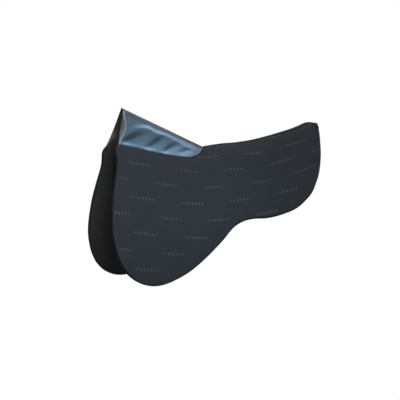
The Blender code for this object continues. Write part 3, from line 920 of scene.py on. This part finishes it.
class HALFPAD_OT_panels(PartOperator, bpy.types.Operator):
    """Outer fabric, foam and mesh lining of both side panels"""

    bl_idname = "halfpad.panels"
    bl_label = "Padded panels"

    def execute(self, context):
        look = context.scene.half_pad
        fabric, mesh, foam = fabric_finish(look), spacer_finish(look), foam_finish()
        face, core = Face(), Face(FOAM_MARGIN, COLUMNS // 2, ROWS // 2)
        thickness = MESH_AT_EDGE + (MESH - MESH_AT_EDGE) * np.clip(face.edge / MESH_THIN, 0, 1)
        layers = (
            ("foam_pad", "foam_core", foam, "foam", core, core.outer() + SKIN + GAP,
             core.inner() - MESH - GAP),
            ("outer_fabric", "outer_cover", fabric, "outer_fabric", face, face.outer(),
             face.outer() + SKIN),
            ("mesh_face", "mesh_lining", mesh, "spacer_mesh", face, face.inner() - thickness,
             face.inner()),
        )
        for name, node, finish, slot, grid, near, far in layers:
            data = slab(grid.at(near), grid.at(far), grid.cloth, grid.edge)
            for side, piece in pair(name, data, finish):
                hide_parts(f"{side}_{node}")
                if finish == foam:
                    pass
                else:
                    cut(piece, grid.cloth, "stretched", rests_on=f"{side}_foam_pad")
        return {"FINISHED"}


class HALFPAD_OT_edges(PartOperator, bpy.types.Operator):
    """Edge tape round the front, bottom and rear of each panel, with its stitches"""

    bl_idname = "halfpad.edges"
    bl_label = "Edge tapes"

    def execute(self, context):
        finish = tape_finish("edge_tape", context.scene.half_pad.tape)
        points, normals, inward = edge_path()
        sections = [points + inward * a - normals * depth for a, depth in tape_section()]
        for side, piece in pair("edge_tape", swept(np.stack(sections, 1)), finish):
            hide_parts(f"{side}_edge_binding")
        sewing = context.scene.half_pad_sewing
        thread = thread_finish(sewing.colour)
        over, under = panel_depths(SEWN_AT)
        rows = (("outer", over - TAPE_CLEAR - TAPE, 1), ("inner", under + TAPE_CLEAR + TAPE, -1))
        for face, depth, facing in rows:
            row = stitches(points + inward * SEWN_AT - normals * depth, normals * facing, sewing)
            pair(f"{face}_edge_stitches", row, thread)
        return {"FINISHED"}


def edge_path():
    """Points on the outline round the front, bottom and rear of the left panel, with the normals
    and the ways into the panel."""
    side = []
    for run, back in ((front, False), (bottom, False), (rear, True)):
        around = run_along(run(np.linspace(0, 1, EDGE_READ)))[-1]
        stops = np.linspace(0, 1, int(around / TAPE_STEP) + 1)
        side.append(run(stops[::-1] if back else stops))
    side = np.concatenate([side[0], side[1][1:], side[2][1:]])
    points, normals = face_point(*side.T), face_normal(*side.T)
    inward = unit(np.cross(normals, unit(np.gradient(points, axis=0))))
    if ((points.mean(0) - points) * inward).sum() < 0:
        inward = -inward
    return points, normals, inward


def panel_depths(a):
    """Depths of the fabric and of the mesh lining at a distance from the panel's outline."""
    edge = np.clip(a - DRAWN_IN, 0, None)
    return ROLL_DEPTH * roll(edge) - CROWN_OUT * crown(edge), EDGE_THICKNESS + CROWN_IN * crown(edge)


def tape_section(clear=TAPE_CLEAR, lap=TAPE_LAP):
    """A tape's cross-section round an edge, as distances from the outline and depths: outside
    first, and back inside, where it stays clear of the layers."""
    outside, inside = [], []
    laps = np.linspace(lap, TAPE_ROUND, TAPE_FLATS, endpoint=False)
    over, under = panel_depths(TAPE_ROUND)
    middle = (over + under) / 2
    for thickness, found in ((TAPE + clear, outside), (clear, inside)):
        for a in laps:
            found.append((a, panel_depths(a)[0] - thickness))
        reach = TAPE_ROUND - (TAPE + clear - thickness)
        half = (under - over) / 2 + thickness
        for angle in np.linspace(-np.pi / 2, np.pi / 2, TAPE_ROUNDS):
            found.append((TAPE_ROUND - reach * np.cos(angle), middle + half * np.sin(angle)))
        for a in laps[::-1]:
            found.append((a, panel_depths(a)[1] + thickness))
    return outside + inside[::-1]


class HALFPAD_OT_wither_cover(PartOperator, bpy.types.Operator):
    """Folded leather-look cover over the withers, its lining and its turned hem"""

    bl_idname = "halfpad.wither_cover"
    bl_label = "Wither cover"

    def execute(self, context):
        look = context.scene.half_pad_cover
        s, t = cover_grid()
        points, normals = cover(s, t), cover_normal(s, t)
        down = np.linalg.norm(points - points[:, :1], axis=-1)
        behind = points[..., 0] - cover(0, t)[..., 0] - hem_width(t)
        cloth = np.stack([behind, down], -1)
        under = lowered(points - normals * (LEATHER + GAP), t)
        sheets = (
            ("wither_cover", points, LEATHER, leather_finish(look), "leather_look"),
            ("wither_lining", under, WITHER_LINING, lining_finish(look), "woven_lining"),
        )
        for name, near, thickness, finish, slot in sheets:
            data = slab(near, near - normals * thickness, cloth)
            for side, piece in pair(name, data, finish, COVER_BEND):
                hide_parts(name)
                cut(piece, cloth, "folded", rests_on=f"{side}_outer_fabric")
        self.hem(hem_finish(look))
        return {"FINISHED"}

    def hem(self, finish):
        """The oval fold along the front edge, from the ridge to the seam."""
        t = np.linspace(0, 1, HEM_STATIONS)
        half = (hem_width(t) - GAP) / 2
        thick = (LEATHER + GAP + WITHER_LINING) / 2
        angle = np.linspace(0, TURN, HEM_SIDES, endpoint=False)[None]
        c, d = (np.sign(x) * abs(x) ** (2 / HEM_SQUARE) for x in (np.cos(angle), np.sin(angle)))
        behind = half[:, None] * (1 + c)
        offset = (thick + HEM_PROUD) * d - thick
        s, t = behind / RIDGE_LENGTH, np.broadcast_to(t[:, None], behind.shape)
        sections = cover(s, t) + cover_normal(s, t) * offset[..., None]
        data = swept(sections, np.where(d < -1e-6, -behind, behind))
        for _, piece in pair("wither_hem", data, finish, COVER_BEND):
            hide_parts("wither_hem")


def spine_path():
    """Points along the left panel's top edge behind the cover, with the normals and the ways down
    over the panel."""
    stops = np.linspace(SPINE_START, SPINE_END, SPINE_STATIONS)
    fine = top(np.linspace(0, 1, TOP_READ))
    heights = np.interp(stops, fine[:, 0], fine[:, 1])
    points, normals = face_point(stops, heights), face_normal(stops, heights)
    across = unit(np.cross(unit(np.gradient(points, axis=0)), normals))
    return points, normals, np.where(across[:, 2:] > 0, -across, across)


def spine_half(facing, reach):
    """Points of a spine tape's left half, on the outside (1) or the inside (-1) and this far off
    the panel: from the middle, where it arches, to the panel's edge and down over its face."""
    points, normals, across = spine_path()
    lap = np.linspace(0, SPINE_LAP, SPINE_ROUNDS)
    from_end = np.maximum(TOP_RUN[-1][0] - DRAWN_IN - points[:, 0], 0)
    over, under = panel_depths(np.minimum(lap[:, None], from_end) + DRAWN_IN)
    depths = np.minimum(over, 0) if facing > 0 else under
    on = [points + across * a - normals * (depth - facing * reach)[:, None]
          for a, depth in zip(lap, depths)]
    middle = on[0] * (1, 0, 1)
    gap = [middle + (on[0] - middle) * share + (0, 0, SPINE_CROWN * facing * (1 - share**2))
           for share in np.linspace(0, 1, SPINE_FLATS, endpoint=False)]
    return np.stack([*gap, *on], 1)


def spine_end():
    """The way of the spine tape's turned end from the middle to the left panel's rear edge and
    down it, with the normals and the ways in."""
    side = rear(np.linspace(0, END_REACH, END_STOPS))
    edge = face_point(*side.T)
    middle = edge[0] * (1, 0, 1) + (0, 0, END_RISE)
    beside = (middle + edge[0]) / 2
    way = through([middle, beside, *edge], before=beside * (1, -1, 1))
    points = way(np.linspace(0, 1, END_STATIONS))
    out = np.clip(points[:, 1:2] / edge[0, 1], 0, 1)
    ahead = unit(np.gradient(points, axis=0))
    normals = face_normal(points[:, 0], points[:, 2]) * out + np.array([0, 0, 1]) * (1 - out)
    normals = unit(normals - ahead * (normals * ahead).sum(-1, keepdims=True))
    inward = np.cross(normals, ahead)
    inward = np.where(inward[:, :1] > 0, -inward, inward)
    return points, normals, inward, 1 - END_SLIM * (1 - out)


def turned_end():
    """A bar that closes the rear ends of the panels between the edge tapes."""
    points, normals, inward, slim = spine_end()
    sections = np.stack([points + inward * (a - END_OUT) - normals * slim * depth
                         for a, depth in tape_section(END_CLEAR, END_LAP)], 1)
    sections[0, :, 1] = 0
    return swept(sections)


class HALFPAD_OT_spine(PartOperator, bpy.types.Operator):
    """Tapes along the spine, over and under the panels' top edges"""

    bl_idname = "halfpad.spine"
    bl_label = "Spine tapes"

    def execute(self, context):
        look, sewing = context.scene.half_pad, context.scene.half_pad_sewing
        tapes = (
            ("spine_tape", "spine_strip", 1, look.tape, "spine_tape"),
            ("spine_lining_tape", "spine_lining_strip", -1, look.spacer, "lining_tape"),
        )
        for name, node, facing, shade, slot in tapes:
            finish = tape_finish(name, shade)
            near, far = spine_half(facing, SPINE_CLEAR), spine_half(facing, SPINE_CLEAR + SPINE_TAPE)
            steps = np.diff(far, axis=1, prepend=far[:, :1])
            down = np.cumsum(np.linalg.norm(steps, axis=-1), axis=1)
            cloth = np.stack([far[..., 0], down], -1)
            for side, piece in pair(name, slab(far, near, cloth), finish, SPINE_BEND):
                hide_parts(node)
                cut(piece, cloth, "folded", rests_on=f"{side}_outer_fabric")
            if facing > 0:
                pair("spine_tape_end", turned_end(), finish, SPINE_BEND)
                row = stitches(far[:, -2], spine_path()[1], sewing)
                pair("spine_stitches", row, thread_finish(sewing.colour), SPINE_BEND)
        return {"FINISHED"}


class HALFPAD_OT_stage(PartOperator, bpy.types.Operator):
    """Pale floor, soft studio light and the camera"""

    bl_idname = "halfpad.stage"
    bl_label = "Studio"

    def execute(self, context):
        scene, look = context.scene, context.scene.half_pad_studio
        mesh = bmesh.new()
        bmesh.ops.create_circle(mesh, cap_ends=True, segments=FLOOR_SIDES, radius=FLOOR_RADIUS)
        bmesh.ops.translate(mesh, vec=(0, 0, look.floor_height), verts=mesh.verts)
        floor = bpy.data.objects.new("floor", made_mesh(mesh, "floor"))
        scene.collection.objects.link(floor)
        floor.data.materials.append(self.pale())
        self.world(scene, look)
        for name, lamp in LIGHTS.items():
            self.light(name, getattr(look, name), *lamp)
        self.camera(scene)
        scene.view_settings.view_transform = "Standard"
        return {"FINISHED"}

    def pale(self):
        """A floor that is seen nearly white and sends little light back up."""
        finish = Finish("pale_floor", 0.9)
        finish.give("Base Color", [FLOOR_GREY] * 3)
        glow = finish.node("ShaderNodeEmission", {}, {"Color": [FLOOR_SEEN] * 3, "Strength": 1.0})
        finish.ends_in("Material Output", Value(finish, finish.shader.outputs[0]), glow)
        return finish.material

    def world(self, scene, look):
        """White behind the object, and for its light a sky that is brighter overhead."""
        scene.world = bpy.data.worlds.new("studio")
        sky = Nodes(scene.world)
        way = sky.node("ShaderNodeTexCoord", {}, output="Generated")
        x, height = (sky.node("ShaderNodeSeparateXYZ", {}, [way], k) for k in (0, 2))
        strength = height.rises(SKY_LOW, SKY_HIGH) * look.overhead + look.horizon
        strength = strength * (x.rises(SKY_FRONT, SKY_REAR) * (1 - SKY_DIM) + SKY_DIM)
        around = sky.node("ShaderNodeBackground", {}, {"Color": (1, 1, 1), "Strength": strength})
        behind = sky.node("ShaderNodeBackground", {}, {"Color": (1, 1, 1), "Strength": 1.0})
        sky.ends_in("World Output", around, behind)

    def light(self, name, power, at, size, shade):
        """A soft light that faces the pad."""
        lamp = bpy.data.lights.new(name, "AREA")
        lamp.shape, lamp.size, lamp.size_y = "RECTANGLE", *size
        lamp.energy, lamp.color = power, shade
        obj = bpy.data.objects.new(name, lamp)
        obj.location = at
        obj.rotation_euler = (Vector(CAMERA_TARGET) - Vector(at)).to_track_quat("-Z", "Y").to_euler()
        bpy.context.scene.collection.objects.link(obj)

    def camera(self, scene):
        """The photograph's view."""
        azimuth, elevation = np.radians(CAMERA_AZIMUTH), np.radians(CAMERA_ELEVATION)
        level = np.cos(elevation)
        back = Vector((np.sin(azimuth) * level, -np.cos(azimuth) * level, np.sin(elevation)))
        lens = bpy.data.cameras.new("camera")
        lens.lens, lens.sensor_width = CAMERA_LENS, CAMERA_SENSOR
        eye = bpy.data.objects.new("camera", lens)
        eye.location = Vector(CAMERA_TARGET) + back * CAMERA_DISTANCE
        eye.rotation_euler = (-back).to_track_quat("-Z", "Y").to_euler()
        scene.collection.objects.link(eye)
        scene.camera = eye


OPERATORS = (
    HALFPAD_OT_panels, HALFPAD_OT_edges, HALFPAD_OT_wither_cover, HALFPAD_OT_spine,
    HALFPAD_OT_stage,
)


class HALFPAD_PT_pieces(bpy.types.Panel):
    """The pieces of the half pad, in the order they are made"""

    bl_idname = "HALFPAD_PT_pieces"
    bl_label = "Half pad"
    bl_space_type = "VIEW_3D"
    bl_region_type = "UI"
    bl_category = "Half pad"

    def draw(self, context):
        for name in SETTINGS:
            settings = getattr(context.scene, name)
            box = self.layout.box()
            for key in type(settings).__annotations__:
                box.prop(settings, key)
        for operator in OPERATORS:
            self.layout.operator(operator.bl_idname)


SETTINGS = {
    "half_pad": PadFinish, "half_pad_cover": CoverFinish, "half_pad_sewing": Sewing,
    "half_pad_studio": Studio,
}


CLASSES = (*SETTINGS.values(), *OPERATORS, HALFPAD_PT_pieces)


def register():
    for made in CLASSES:
        bpy.utils.register_class(made)
    for name, settings in SETTINGS.items():
        setattr(bpy.types.Scene, name, PointerProperty(type=settings))


def unregister():
    for name in SETTINGS:
        delattr(bpy.types.Scene, name)
    for made in reversed(CLASSES):
        bpy.utils.unregister_class(made)


def main():
    register()
    bpy.ops.halfpad.panels()
    bpy.ops.halfpad.edges()
    bpy.ops.halfpad.wither_cover()
    bpy.ops.halfpad.spine()
    bpy.ops.halfpad.stage()


if __name__ == "__main__":
    main()
